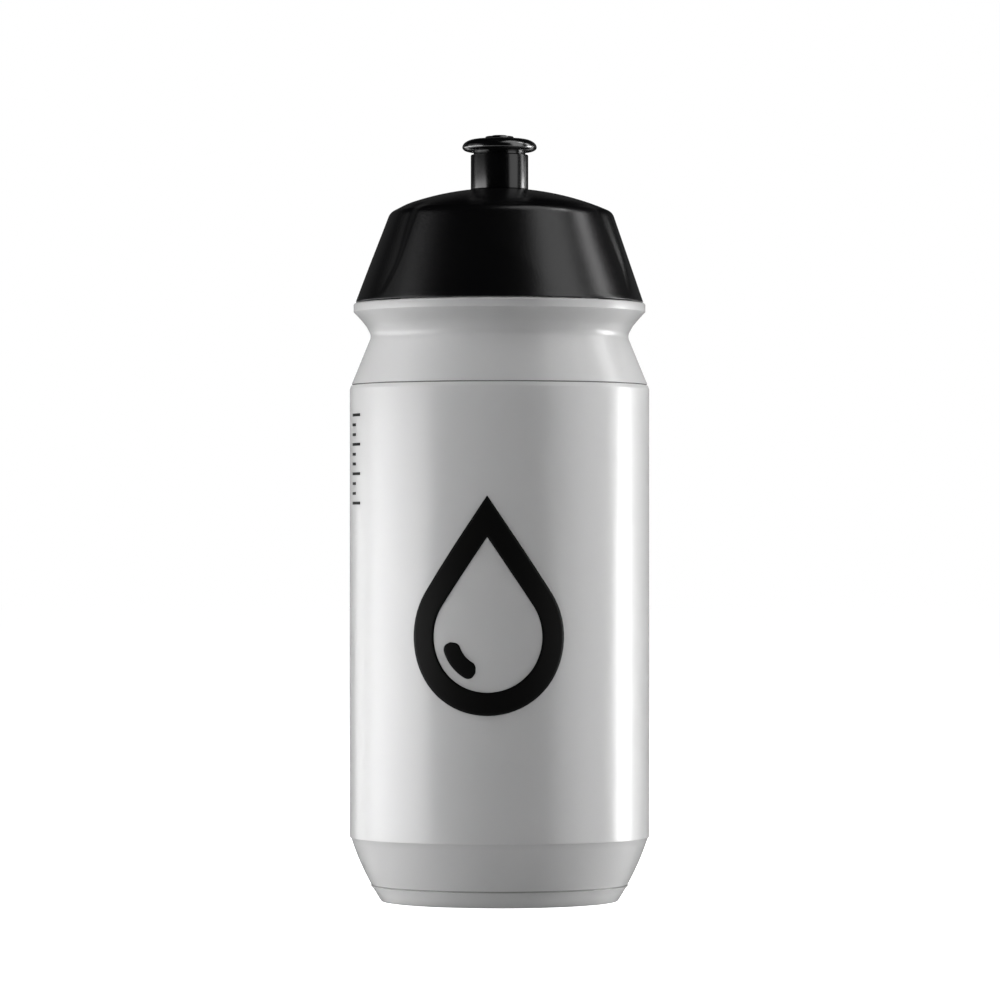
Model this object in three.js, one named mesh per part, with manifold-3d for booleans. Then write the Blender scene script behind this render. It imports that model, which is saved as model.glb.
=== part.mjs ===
// A push-pull squeeze bottle for a bicycle's bottle cage, as its separate mouldings: a translucent
// blow-moulded bottle, a screw-on lid with swept grip hollows and a chimney, the lid's sealing ring,
// and a pull nozzle made of a hard sleeve and a soft mouthpiece.
// Millimetres, +Z up. The origin is on the ground, at the centre of the bottle's foot.
import * as THREE from "three";
import { mergeVertices } from "three/addons/utils/BufferGeometryUtils.js";
import Module from "manifold-3d";

const wasm = await Module();
wasm.setup();

// ---------------------------------------------------------------- driving dimensions

const clearance = 0.3; // between pieces that seat on each other or slide past each other
const weld = 0.2; // how far the features of one moulding run into each other before they are joined

const bottle = {
  radius: 37, // a 74 mm bottle fits the usual cage
  wall: 1.2,
  pushUp: 4.2, // how far the middle of the base is raised
  pushUpRadius: 21,
  footInner: 26.2, // the flat ring that it stands on
  footOuter: 28.9,
  heelRadius: 29.6,
  heelHeight: 0.6,
  taperHeight: 14.8, // from the heel to the panel's lower edge
  taperBulge: 0.55,
  panelProud: 0.4, // the panel stands this proud of the taper below it
  panelHeight: 111.2,
  shoulderHeight: 12.3, // from the panel up to the waist
  waistRadius: 31.6,
  flareHeight: 5.9, // from the waist up to the collar
  flarePower: 1.35,
  collarRadius: 36,
  collarHeight: 2.1,
  edgeRound: 0.4,
};

const finish = {
  bore: 22.8, // inside radius of the mouth
  wall: 1.6,
  height: 17.8, // above the collar
};

const thread = {
  pitch: 6,
  turns: 1.5,
  depth: 1.3,
  rootWidth: 2.6,
  crestWidth: 1.2,
  flankGap: 0.35, // between the working flanks when the lid is tight
  rootGap: 0.4, // between a crest and the wall that it faces
  start: 5.4, // the bottle's thread begins this far above the collar
  sink: 0.5, // how deep each ridge is rooted in its wall
  fadeDegrees: 24, // the run-in at each end of a ridge
  tipDegrees: 2, // cut off the run-in's tip, so that it keeps a little depth
};

const lid = {
  wall: 1.5,
  inset: 0.5, // the skirt's edge is this far inside the bottle's collar
  landHeight: 0.9, // the plain band at the skirt's edge
  crownWall: 1.8, // from the threaded ring out to the lid's top corner
  crownHeight: 2.9, // from the ring's seat up to the lid's top corner
  domeRadius: 68,
  domeWall: 1.9,
  ringWall: 1.8,
  ringRise: 1.6, // the threaded ring ends this far above the skirt's edge
  hollowGap: 1, // the narrowest gap between the threaded ring and the skirt
  plugWall: 1.1, // the lip that fits inside the bottle's mouth
  plugDepth: 4,
  ribs: 12,
  ribWidth: 1.1,
  ribRise: 3.2, // the ribs end this far above the skirt's edge
  ribRoot: 0.45, // how deep a rib runs into the walls beside it
};

const grip = {
  hollows: 3,
  depth: 1.4, // of a hollow at the lid's top corner
  growth: 0.6, // under 1, the depth comes on fast above the plain band
  lean: 12, // degrees that a ridge turns between the skirt's edge and the top corner
  firstRidge: -52.5, // degrees from the front to a ridge's foot
  footRun: 32, // degrees of arc that a hollow covers at the skirt's edge
  topRun: 94, // and at the top corner
  step: 5, // degrees of arc in which a hollow ends against the next ridge
};

const seal = { thickness: 1.2 };

const chimney = {
  radius: 5.15,
  wall: 1.2,
  height: 7.6, // above the closed nozzle's lower edge
  beadHeight: 0.9,
  beadReach: 0.6, // the bead that stops the nozzle
  postRadius: 1.6,
  spokes: 3,
  spokeWidth: 1.2,
  spokeHeight: 2.6,
  plugRadius: 2.45,
  plugHeight: 2,
};

const nozzle = {
  wall: 1.05,
  catchHeight: 0.9, // the inward lip that meets the chimney's bead
  height: 8.2, // the plain cylinder, up to its shoulder
  neckInset: 0.7,
  neckHeight: 1.5,
  headInset: 0.15,
  headHeight: 0.85,
  throatGap: 1.15, // the water's way round the plug
};

const mouthpiece = {
  rise: 0.7, // its underside is this far above the sleeve's shoulder
  wrap: 0.5, // the lip under the sleeve's head
  reach: 2.1, // its rim stands this proud of the sleeve
  rimLow: 1.1, // the rim's height below its widest place
  rimHigh: 2.1, // and above it
  lowReach: 2, // how far in from the widest place the rim curves below
  highReach: 3.7, // and above
  crown: 0.25,
  lipWall: 0.6, // round the drinking hole
  lipHeight: 0.4,
};

const sides = { bottle: 48, lid: 48, nozzle: 28, small: 16 };

// ---------------------------------------------------------------- derived heights and radii

const z = {};
z.panelLow = bottle.heelHeight + bottle.taperHeight + bottle.panelProud;
z.panelHigh = z.panelLow + bottle.panelHeight;
z.waist = z.panelHigh + bottle.shoulderHeight;
z.collarLow = z.waist + bottle.flareHeight;
z.collar = z.collarLow + bottle.collarHeight;
z.mouth = z.collar + finish.height;
z.sealLow = z.mouth + clearance;
z.sealHigh = z.sealLow + seal.thickness;
z.seat = z.sealHigh + clearance;
z.skirt = z.collar + clearance;
z.corner = z.seat + lid.crownHeight;

const finishRadius = finish.bore + finish.wall;
const ringBore = finishRadius + thread.depth + thread.rootGap;
const ringRadius = ringBore + lid.ringWall;
const cornerRadius = ringBore + lid.crownWall;
const skirtRadius = bottle.collarRadius - lid.inset;
const skirtSlope = (skirtRadius - cornerRadius) / (z.corner - z.skirt);
const domeTop = z.corner + sag(lid.domeRadius, cornerRadius);
const plugOuter = finish.bore - clearance;
const plugInner = plugOuter - lid.plugWall;
// Where the skirt's inside comes as close to the threaded ring as it may.
z.hollowTop = z.skirt + (skirtRadius - lid.wall - grip.depth - ringRadius - lid.hollowGap) / skirtSlope;

const chimneyBore = chimney.radius - chimney.wall;
const nozzleBore = chimney.radius + chimney.beadReach + clearance;
const nozzleRadius = nozzleBore + nozzle.wall;
const catchBore = chimney.radius + clearance;
const throat = chimney.plugRadius + nozzle.throatGap;
const neckRadius = nozzleRadius - nozzle.neckInset;
const headRadius = nozzleRadius - nozzle.headInset;
const holeRadius = chimney.plugRadius + clearance;

z.nozzleLow = domeAt(catchBore) + clearance;
z.shoulder = z.nozzleLow + nozzle.height;
z.headLow = z.shoulder + nozzle.neckHeight;
z.headHigh = z.headLow + nozzle.headHeight;
z.chimney = z.nozzleLow + chimney.height;
z.roof = z.chimney + clearance;
z.rim = z.shoulder + mouthpiece.rise;
z.mouthpiece = z.rim + mouthpiece.rimLow + mouthpiece.rimHigh + mouthpiece.crown;
z.plug = z.mouthpiece + mouthpiece.lipHeight + clearance;

// How far a dome has dropped at a distance r from its middle.
function sag(domeRadius, r) {
  return domeRadius - Math.sqrt(domeRadius * domeRadius - r * r);
}

function domeAt(r) {
  return domeTop - sag(lid.domeRadius, r);
}

function domeInsideAt(r) {
  return domeTop - lid.domeWall - sag(lid.domeRadius - lid.domeWall, r);
}

// ---------------------------------------------------------------- making solids

// A closed geometry with its shared corners merged becomes a solid that can be joined and cut.
function toSolid(geometry) {
  geometry.deleteAttribute("normal");
  geometry.deleteAttribute("uv");
  const merged = mergeVertices(geometry, 1e-4);
  const corners = merged.index.array;
  const faces = [];
  for (let i = 0; i < corners.length; i += 3) {
    const [a, b, c] = corners.slice(i, i + 3);
    if (a !== b && b !== c && c !== a) faces.push(a, b, c);
  }
  const vertProperties = new Float32Array(merged.attributes.position.array);
  return new wasm.Manifold(new wasm.Mesh({ numProp: 3, vertProperties, triVerts: new Uint32Array(faces) }));
}

function toMesh(name, solid, material) {
  const { vertProperties, triVerts } = solid.getMesh();
  const geometry = new THREE.BufferGeometry();
  geometry.setAttribute("position", new THREE.BufferAttribute(new Float32Array(vertProperties), 3));
  geometry.setIndex(new THREE.BufferAttribute(new Uint32Array(triVerts), 1));
  geometry.computeVertexNormals();
  const mesh = new THREE.Mesh(geometry, material);
  mesh.name = name;
  return mesh;
}

// Turns an outline of [radius, height] pairs about Z. The outline runs anticlockwise, seen with the
// radius to the right and the height up, and it is closed here unless it ends on the axis.
function turned(outline, count) {
  const closed = outline[0][0] === 0 ? outline : [...outline, outline[0]];
  const points = closed.map(([r, height]) => new THREE.Vector2(r, height));
  return toSolid(new THREE.LatheGeometry(points, count).rotateX(Math.PI / 2));
}

function tube(inner, outer, low, high, count) {
  return turned([[inner, low], [outer, low], [outer, high], [inner, high]], count);
}

function disc(radius, low, high, count) {
  return turned([[0, low], [radius, low], [radius, high], [0, high]], count);
}

// Points on a quarter of an ellipse, or on part of one, as [radius, height] pairs.
function bend([r, height], [across, up], fromDegrees, toDegrees, steps) {
  return Array.from({ length: steps + 1 }, (_, i) => {
    const angle = THREE.MathUtils.degToRad(fromDegrees + ((toDegrees - fromDegrees) * i) / steps);
    return [r + across * Math.cos(angle), height + up * Math.sin(angle)];
  });
}

// Skins a row of closed loops, each with the same number of points, and closes both ends.
function skinned(loops) {
  const count = loops[0].length;
  const corners = loops.flat();
  const faces = [];
  for (let row = 0; row + 1 < loops.length; row += 1) {
    for (let i = 0; i < count; i += 1) {
      const next = (i + 1) % count;
      const [a, b] = [row * count + i, row * count + next];
      faces.push(a, b, b + count, a, b + count, a + count);
    }
  }
  const last = corners.length - count;
  for (let i = 1; i + 1 < count; i += 1) {
    faces.push(0, i + 1, i);
    faces.push(last, last + i, last + i + 1);
  }
  const geometry = new THREE.BufferGeometry().setFromPoints(corners);
  geometry.setIndex(faces);
  return toSolid(geometry);
}

function onCircle(radius, degrees, height) {
  const angle = THREE.MathUtils.degToRad(degrees);
  return new THREE.Vector3(radius * Math.cos(angle), radius * Math.sin(angle), height);
}

// One helical ridge. outward is 1 for a ridge outside a wall of that radius and -1 for one inside it.
function threadRidge(wallRadius, outward, startHeight) {
  const total = thread.turns * 360;
  const steps = Math.round(thread.turns * sides.bottle);
  const root = wallRadius - outward * thread.sink;
  const flank = (thread.rootWidth - thread.crestWidth) / 2 / thread.depth;
  const loops = [];
  for (let i = 0; i <= steps; i += 1) {
    const degrees = (total * i) / steps;
    const fromEnd = Math.min(degrees, total - degrees) + thread.tipDegrees;
    const runIn = Math.min(1, fromEnd / thread.fadeDegrees);
    const depth = thread.depth * runIn;
    const crest = wallRadius + outward * depth;
    const height = startHeight + (thread.pitch * degrees) / 360;
    const halfRoot = thread.crestWidth / 2 + flank * (depth + thread.sink);
    const halfCrest = thread.crestWidth / 2;
    const section = [[root, -halfRoot], [crest, -halfCrest], [crest, halfCrest], [root, halfRoot]];
    const loop = section.map(([r, up]) => onCircle(r, degrees, height + up));
    loops.push(outward > 0 ? loop.reverse() : loop);
  }
  return skinned(loops);
}

// ---------------------------------------------------------------- the bottle

// The bottle's outside from the middle of its base to the neck's foot, with a sharp collar.
function bottlePath() {
  const taperHigh = bottle.radius - bottle.panelProud;
  const path = [
    [0, bottle.pushUp],
    [bottle.pushUpRadius, bottle.pushUp],
    [bottle.footInner, 0],
    [bottle.footOuter, 0],
  ];
  const taperSteps = 4;
  for (let i = 0; i <= taperSteps; i += 1) {
    const s = i / taperSteps;
    const r = THREE.MathUtils.lerp(bottle.heelRadius, taperHigh, s) + bottle.taperBulge * 4 * s * (1 - s);
    path.push([r, bottle.heelHeight + bottle.taperHeight * s]);
  }
  path.push([bottle.radius, z.panelLow], [bottle.radius, z.panelHigh]);
  const flareSteps = 4;
  for (let i = 0; i <= flareSteps; i += 1) {
    const s = i / flareSteps;
    const reach = bottle.collarRadius - bottle.waistRadius;
    path.push([bottle.waistRadius + reach * s ** bottle.flarePower, z.waist + bottle.flareHeight * s]);
  }
  path.push([bottle.collarRadius, z.collar], [finishRadius, z.collar]);
  return path;
}

// The same path moved to its left by one wall, with mitred corners.
function inset(path, wall) {
  const normals = path.slice(1).map(([r, height], i) => {
    const along = new THREE.Vector2(r - path[i][0], height - path[i][1]).normalize();
    return new THREE.Vector2(-along.y, along.x);
  });
  return path.map(([r, height], i) => {
    const before = normals[Math.max(i - 1, 0)];
    const after = normals[Math.min(i, normals.length - 1)];
    const shift = before.clone().add(after);
    shift.multiplyScalar(wall / (1 + before.dot(after)));
    return [r + shift.x, height + shift.y];
  });
}

function bottleShell() {
  const path = bottlePath();
  const inside = inset(path, bottle.wall).slice(0, -1);
  const shell = turned(
    [
      ...path.slice(0, -2),
      [bottle.collarRadius, z.collar - bottle.edgeRound],
      [bottle.collarRadius - bottle.edgeRound, z.collar],
      [finishRadius, z.collar],
      [finishRadius, z.mouth],
      [finish.bore, z.mouth],
      [finish.bore, z.collar - bottle.wall],
      ...inside.reverse(),
    ],
    sides.bottle,
  );
  return shell.add(threadRidge(finishRadius, 1, z.collar + thread.start));
}

// ---------------------------------------------------------------- the lid

// One level loop of the lid's skirt, moved inwards by that many millimetres. Each ridge keeps the
// full cone; behind it the surface sinks into a hollow that ends in a step against the next ridge.
function skirtLoop(height, inwards) {
  const up = THREE.MathUtils.clamp((height - z.skirt) / (z.corner - z.skirt), 0, 1);
  const cone = skirtRadius - skirtSlope * (height - z.skirt) - inwards;
  const gripUp = THREE.MathUtils.clamp((height - z.skirt - lid.landHeight) / (z.corner - z.skirt), 0, 1);
  const depth = grip.depth * gripUp ** grip.growth;
  const run = THREE.MathUtils.lerp(grip.footRun, grip.topRun, up);
  const pitch = 360 / grip.hollows;
  const plainSteps = 6;
  const hollowSteps = 11;
  const loop = [];
  for (let ridge = 0; ridge < grip.hollows; ridge += 1) {
    const start = grip.firstRidge - 90 + grip.lean * up + pitch * ridge;
    const plain = pitch - run - grip.step;
    for (let i = 0; i < plainSteps; i += 1) {
      loop.push(onCircle(cone, start + (plain * i) / plainSteps, height));
    }
    for (let i = 0; i <= hollowSteps; i += 1) {
      const s = i / hollowSteps;
      loop.push(onCircle(cone - depth * s, start + plain + run * s, height));
    }
  }
  return loop;
}

function lidOutside() {
  const rows = 5;
  const loops = [skirtLoop(z.skirt, 0)];
  for (let i = 0; i <= rows; i += 1) {
    loops.push(skirtLoop(THREE.MathUtils.lerp(z.skirt + lid.landHeight, z.corner, i / rows), 0));
  }
  const corner = loops[loops.length - 1];
  const domeRings = 6;
  for (let i = 1; i < domeRings; i += 1) {
    const share = 1 - i / domeRings;
    loops.push(corner.map((point) => {
      const r = Math.hypot(point.x, point.y) * share;
      return new THREE.Vector3(point.x * share, point.y * share, domeAt(r));
    }));
  }
  return skinned(loops);
}

// The space inside the skirt, up to where it closes on the threaded ring.
function skirtHollow(inwards) {
  const rows = 4;
  const low = z.skirt - clearance;
  return skinned(
    Array.from({ length: rows + 1 }, (_, i) => {
      return skirtLoop(THREE.MathUtils.lerp(low, z.hollowTop, i / rows), inwards);
    }),
  );
}

// Thin webs between the threaded ring and the skirt, rooted a little way into both.
function lidRibs() {
  const low = z.skirt + lid.ribRise;
  const high = z.hollowTop;
  const web = new THREE.BoxGeometry(skirtRadius - ringRadius + lid.ribRoot, lid.ribWidth, high - low);
  web.translate((skirtRadius + ringRadius - lid.ribRoot) / 2, 0, (low + high) / 2);
  const envelope = skirtHollow(lid.wall - lid.ribRoot);
  const webs = Array.from({ length: lid.ribs }, (_, i) => {
    return toSolid(web.clone().rotateZ((2 * Math.PI * (i + 0.5)) / lid.ribs));
  });
  return webs.reduce((joined, one) => joined.add(one)).intersect(envelope);
}

// The dome's underside, inside the lip that plugs the bottle's mouth.
function domeHollow() {
  const low = z.seat - lid.plugDepth - clearance;
  const steps = 5;
  const arch = Array.from({ length: steps + 1 }, (_, i) => {
    const r = plugInner * (1 - i / steps);
    return [r, domeInsideAt(r)];
  });
  return turned([[0, low], [plugInner, low], ...arch], sides.lid);
}

// The tube that the nozzle slides on, with its spokes, its post and the plug on top.
function addChimney(shell) {
  const root = domeInsideAt(0) + lid.domeWall / 2;
  const beadLow = z.chimney - chimney.beadHeight;
  const beadRadius = chimney.radius + chimney.beadReach;
  const stack = turned(
    [
      [chimneyBore - weld, root],
      [chimney.radius, root],
      [chimney.radius, beadLow - chimney.beadReach],
      [beadRadius, beadLow],
      [beadRadius, z.chimney - chimney.beadReach],
      [chimney.radius, z.chimney],
      [chimneyBore - weld, z.chimney],
    ],
    sides.nozzle,
  );
  const way = disc(chimneyBore, z.seat, z.chimney + clearance, sides.nozzle);
  const spokeLow = domeInsideAt(0);
  const spokeReach = chimneyBore + chimney.wall / 2;
  const spoke = new THREE.BoxGeometry(spokeReach, chimney.spokeWidth, chimney.spokeHeight);
  spoke.translate(spokeReach / 2, 0, spokeLow + chimney.spokeHeight / 2);
  const plugLow = z.plug - chimney.plugHeight;
  const flare = chimney.plugRadius - chimney.postRadius;
  const post = turned(
    [
      [0, spokeLow],
      [chimney.postRadius, spokeLow],
      [chimney.postRadius, plugLow - flare],
      [chimney.plugRadius, plugLow],
      [chimney.plugRadius, z.plug - flare / 2],
      [chimney.postRadius, z.plug],
      [0, z.plug],
    ],
    sides.small,
  );
  let joined = shell.add(stack).subtract(way).add(post);
  for (let i = 0; i < chimney.spokes; i += 1) {
    joined = joined.add(toSolid(spoke.clone().rotateZ((2 * Math.PI * i) / chimney.spokes)));
  }
  return joined;
}

function lidShell() {
  const ringLow = z.skirt + lid.ringRise;
  const ring = tube(ringBore - weld, ringRadius, ringLow, z.hollowTop + weld, sides.lid);
  const mouthWay = disc(ringBore, z.skirt - clearance, z.seat, sides.lid);
  const plug = tube(plugInner - weld, plugOuter, z.seat - lid.plugDepth, z.seat + weld, sides.lid);
  // The two ridges lie side by side, the lid's below the bottle's.
  const overlap = thread.rootWidth / 2 + thread.crestWidth / 2;
  const flank = (thread.rootWidth - thread.crestWidth) / 2 / thread.depth;
  const below = overlap - flank * thread.rootGap + thread.flankGap;
  const shell = lidOutside()
    .subtract(skirtHollow(lid.wall))
    .add(ring)
    .add(lidRibs())
    .subtract(mouthWay)
    .add(plug)
    .subtract(domeHollow())
    .add(threadRidge(ringBore, -1, z.collar + thread.start - below));
  return addChimney(shell);
}

// ---------------------------------------------------------------- seal and nozzle

function sealingRing() {
  return tube(plugOuter + clearance, ringBore - clearance, z.sealLow, z.sealHigh, sides.lid);
}

function nozzleSleeve() {
  return turned(
    [
      [catchBore, z.nozzleLow],
      [nozzleRadius, z.nozzleLow],
      [nozzleRadius, z.shoulder],
      [neckRadius, z.shoulder],
      [neckRadius, z.headLow],
      [headRadius, z.headLow],
      [headRadius, z.headHigh],
      [throat, z.headHigh],
      [throat, z.roof],
      [nozzleBore, z.roof],
      [nozzleBore, z.nozzleLow + nozzle.catchHeight],
      [catchBore, z.nozzleLow + nozzle.catchHeight],
    ],
    sides.nozzle,
  );
}

// The soft cap moulded round the sleeve's head, with a rounded rim and the drinking hole.
function softMouthpiece() {
  const { rimLow, rimHigh, lowReach, highReach } = mouthpiece;
  const rimRadius = nozzleRadius + mouthpiece.reach;
  const widest = z.rim + rimLow;
  const lipRadius = holeRadius + mouthpiece.lipWall;
  const ceiling = z.headHigh + clearance;
  const pocket = headRadius + clearance;
  return turned(
    [
      [neckRadius + clearance, z.rim],
      ...bend([rimRadius - lowReach, widest], [lowReach, rimLow], -90, 0, 4),
      ...bend([rimRadius - highReach, widest], [highReach, rimHigh], 0, 90, 7).slice(1),
      [lipRadius, z.mouthpiece],
      [lipRadius - clearance / 2, z.mouthpiece + mouthpiece.lipHeight],
      [holeRadius, z.mouthpiece + mouthpiece.lipHeight],
      [holeRadius, ceiling],
      [pocket, ceiling],
      [pocket, z.rim + mouthpiece.wrap],
      [neckRadius + clearance, z.rim + mouthpiece.wrap],
    ],
    sides.nozzle,
  );
}

// ---------------------------------------------------------------- assembly

const milkyPlastic = new THREE.MeshStandardMaterial({
  color: "#dedede",
  roughness: 0.42,
  transparent: true,
  opacity: 0.85,
});
const blackPlastic = new THREE.MeshStandardMaterial({ color: "#141414", roughness: 0.5 });
const glossyBlack = new THREE.MeshStandardMaterial({ color: "#101010", roughness: 0.22 });
const softBlack = new THREE.MeshStandardMaterial({ color: "#0e0e0e", roughness: 0.35 });
const sealRubber = new THREE.MeshStandardMaterial({ color: "#8d8f92", roughness: 0.7 });

const waterBottle = new THREE.Group();
waterBottle.name = "water_bottle";
waterBottle.add(
  toMesh("bottle_shell", bottleShell(), milkyPlastic),
  toMesh("sealing_ring", sealingRing(), sealRubber),
  toMesh("lid_shell", lidShell(), blackPlastic),
  toMesh("nozzle_sleeve", nozzleSleeve(), glossyBlack),
  toMesh("mouthpiece", softMouthpiece(), softBlack),
);

export default waterBottle;
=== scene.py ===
# A push-pull squeeze bottle for a bicycle's bottle cage: a milky blow-moulded bottle, a black screw-on
# lid with swept grip hollows, a pull nozzle with a soft mouthpiece, and the marks printed on the bottle.
# Sizes in the dictionaries are millimetres and degrees. Everything else is metres.
import math

import bmesh
import bpy
from mathutils import Matrix, Vector


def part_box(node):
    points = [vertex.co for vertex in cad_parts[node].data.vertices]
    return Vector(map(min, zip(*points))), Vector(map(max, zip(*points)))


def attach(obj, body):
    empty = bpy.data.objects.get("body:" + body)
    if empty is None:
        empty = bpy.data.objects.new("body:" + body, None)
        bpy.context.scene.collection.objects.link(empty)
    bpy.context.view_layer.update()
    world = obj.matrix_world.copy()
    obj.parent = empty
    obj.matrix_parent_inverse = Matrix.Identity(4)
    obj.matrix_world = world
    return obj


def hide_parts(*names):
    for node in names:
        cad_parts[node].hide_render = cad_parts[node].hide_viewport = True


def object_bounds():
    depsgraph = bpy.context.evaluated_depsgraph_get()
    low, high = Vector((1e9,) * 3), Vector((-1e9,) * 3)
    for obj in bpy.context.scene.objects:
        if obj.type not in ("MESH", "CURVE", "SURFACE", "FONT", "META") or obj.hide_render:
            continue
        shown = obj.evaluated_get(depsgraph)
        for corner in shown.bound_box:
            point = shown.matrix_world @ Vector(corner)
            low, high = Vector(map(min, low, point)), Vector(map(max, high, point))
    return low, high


mm = 0.001
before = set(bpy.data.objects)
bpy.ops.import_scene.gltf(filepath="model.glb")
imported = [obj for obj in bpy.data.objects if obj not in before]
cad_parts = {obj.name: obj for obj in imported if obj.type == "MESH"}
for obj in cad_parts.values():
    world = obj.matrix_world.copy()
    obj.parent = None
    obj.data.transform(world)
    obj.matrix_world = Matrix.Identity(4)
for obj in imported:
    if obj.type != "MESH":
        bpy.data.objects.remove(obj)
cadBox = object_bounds()
scene = bpy.context.scene


def hexColour(code):  # an sRGB hex value as linear red, green, blue, alpha
    parts = [int(code[i:i + 2], 16) / 255 for i in (1, 3, 5)]
    linear = [p / 12.92 if p <= 0.04045 else ((p + 0.055) / 1.055) ** 2.4 for p in parts]
    return (*linear, 1.0)


def addNode(tree, kind, inputs=None, **settings):
    node = tree.nodes.new(kind)
    for name, value in settings.items():
        setattr(node, name, value)
    for key, value in (inputs or {}).items():
        if isinstance(value, bpy.types.NodeSocket):
            tree.links.new(value, node.inputs[key])
        else:
            node.inputs[key].default_value = value
    return node


def newMaterial(name, colour, **settings):  # a Principled surface, with its plain values set
    material = bpy.data.materials.new(name)
    material.use_nodes = True
    surface = material.node_tree.nodes["Principled BSDF"]
    surface.inputs["Base Color"].default_value = hexColour(colour)
    for key, value in settings.items():
        surface.inputs[key.replace("_", " ")].default_value = value
    return material, material.node_tree, surface


def newTree(name, sockets):  # a geometry node tree with named inputs
    tree = bpy.data.node_groups.new(name, "GeometryNodeTree")
    tree.interface.new_socket("Geometry", in_out="INPUT", socket_type="NodeSocketGeometry")
    for label, kind in sockets.items():
        tree.interface.new_socket(label, in_out="INPUT", socket_type="NodeSocket" + kind)
    tree.interface.new_socket("Geometry", in_out="OUTPUT", socket_type="NodeSocketGeometry")
    return tree, tree.nodes.new("NodeGroupInput").outputs


def grow(piece, tree, **sizes):  # runs a tree on a piece and keeps the result as its plain mesh
    modifier = piece.modifiers.new(tree.name, "NODES")
    modifier.node_group = tree
    for item in tree.interface.items_tree:
        key = item.name.replace(" ", "_")
        if item.in_out == "INPUT" and key in sizes:
            modifier[item.identifier] = sizes[key]
    settle(piece)


def settle(piece):  # the evaluated shape becomes the piece's own mesh
    bpy.context.view_layer.update()
    graph = bpy.context.evaluated_depsgraph_get()
    mesh = bpy.data.meshes.new_from_object(piece.evaluated_get(graph))
    mesh.name = piece.name
    piece.modifiers.clear()
    piece.data = mesh


def newPiece(name, points, edges=(), faces=()):
    mesh = bpy.data.meshes.new(name)
    mesh.from_pydata(points, edges, faces)
    piece = bpy.data.objects.new(name, mesh)
    scene.collection.objects.link(piece)
    return piece


def outlineWire(name, outline):  # [radius, height] in mm to a wire in the XZ plane
    points = [(r * mm, 0, z * mm) for r, z in outline]
    return newPiece(name, points, [(i, i + 1) for i in range(len(points) - 1)])


def rounded(corners, steps=5):
    # Each corner is (radius, height, fillet). The outline closes on itself unless it ends on the axis.
    closed = corners[0][0] > 0
    points = []
    for i, (r, z, fillet) in enumerate(corners):
        here = Vector((r, z))
        inside = 0 < i < len(corners) - 1
        if fillet == 0 or not (inside or closed):
            points.append((r, z))
            continue
        before = Vector(corners[i - 1][:2]) - here
        after = Vector(corners[(i + 1) % len(corners)][:2]) - here
        half = before.angle(after) / 2
        reach = min(fillet / math.tan(half), before.length * 0.48, after.length * 0.48)
        radius = reach * math.tan(half)
        centre = here + (before.normalized() + after.normalized()).normalized() * radius / math.sin(half)
        start = here + before.normalized() * reach - centre
        end = here + after.normalized() * reach - centre
        turn = math.atan2(start.x * end.y - start.y * end.x, start.dot(end))
        for k in range(steps + 1):
            c, s = math.cos(turn * k / steps), math.sin(turn * k / steps)
            points.append((centre.x + start.x * c - start.y * s, centre.y + start.x * s + start.y * c))
    return points + [points[0]] if closed else points


def dense(points, spacing, where):  # adds rows to the stretches that a rule will bend
    result = [points[0]]
    for (r0, z0), (r1, z1) in zip(points, points[1:]):
        cuts = 1
        if where((r0 + r1) / 2, (z0 + z1) / 2):
            cuts = max(1, math.ceil(math.hypot(r1 - r0, z1 - z0) / spacing))
        result += [(r0 + (r1 - r0) * k / cuts, z0 + (z1 - z0) * k / cuts) for k in range(1, cuts + 1)]
    return result


def onDome(r, z, domeRadius, edge):  # the height of a dome at r, where it has the height z at its edge
    return z + math.sqrt(domeRadius ** 2 - r ** 2) - math.sqrt(domeRadius ** 2 - edge ** 2)


def turnedTree():
    # An outline turned about Z: a grid with a column for each side and a row for each outline point.
    tree, given = newTree("turned outline", {"Sides": "Int", "Material": "Material"})
    size = addNode(tree, "GeometryNodeAttributeDomainSize", {"Geometry": given["Geometry"]})
    rows = size.outputs["Point Count"]
    columns = addNode(tree, "FunctionNodeIntegerMath", {0: given["Sides"], 1: 1}, operation="ADD")
    grid = addNode(tree, "GeometryNodeMeshGrid", {"Vertices X": columns.outputs[0], "Vertices Y": rows})
    index = addNode(tree, "GeometryNodeInputIndex").outputs[0]
    row = addNode(tree, "FunctionNodeIntegerMath", {0: index, 1: rows}, operation="MODULO")
    column = addNode(tree, "FunctionNodeIntegerMath", {0: index, 1: rows}, operation="DIVIDE")
    place = addNode(tree, "GeometryNodeInputPosition").outputs[0]
    point = addNode(tree, "GeometryNodeSampleIndex",
                    {"Geometry": given["Geometry"], "Value": place, "Index": row.outputs[0]},
                    data_type="FLOAT_VECTOR")
    share = addNode(tree, "ShaderNodeMath", {0: column.outputs[0], 1: given["Sides"]}, operation="DIVIDE")
    angle = addNode(tree, "ShaderNodeMath", {0: share.outputs[0], 1: math.tau}, operation="MULTIPLY")
    spun = addNode(tree, "ShaderNodeVectorRotate", {"Vector": point.outputs[0], "Angle": angle.outputs[0]},
                   rotation_type="Z_AXIS")
    shape = addNode(tree, "GeometryNodeSetPosition",
                    {"Geometry": grid.outputs[0], "Position": spun.outputs[0]})
    welded = addNode(tree, "GeometryNodeMergeByDistance", {"Geometry": shape.outputs[0], "Distance": 2e-6})
    finishTree(tree, welded.outputs[0], given["Material"])
    return tree


def finishTree(tree, shape, material):
    real = addNode(tree, "GeometryNodeRealizeInstances", {"Geometry": shape})
    smooth = addNode(tree, "GeometryNodeSetShadeSmooth", {"Geometry": real.outputs[0]})
    painted = addNode(tree, "GeometryNodeSetMaterial",
                      {"Geometry": smooth.outputs[0], "Material": material})
    addNode(tree, "NodeGroupOutput", {"Geometry": painted.outputs[0]})


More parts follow.
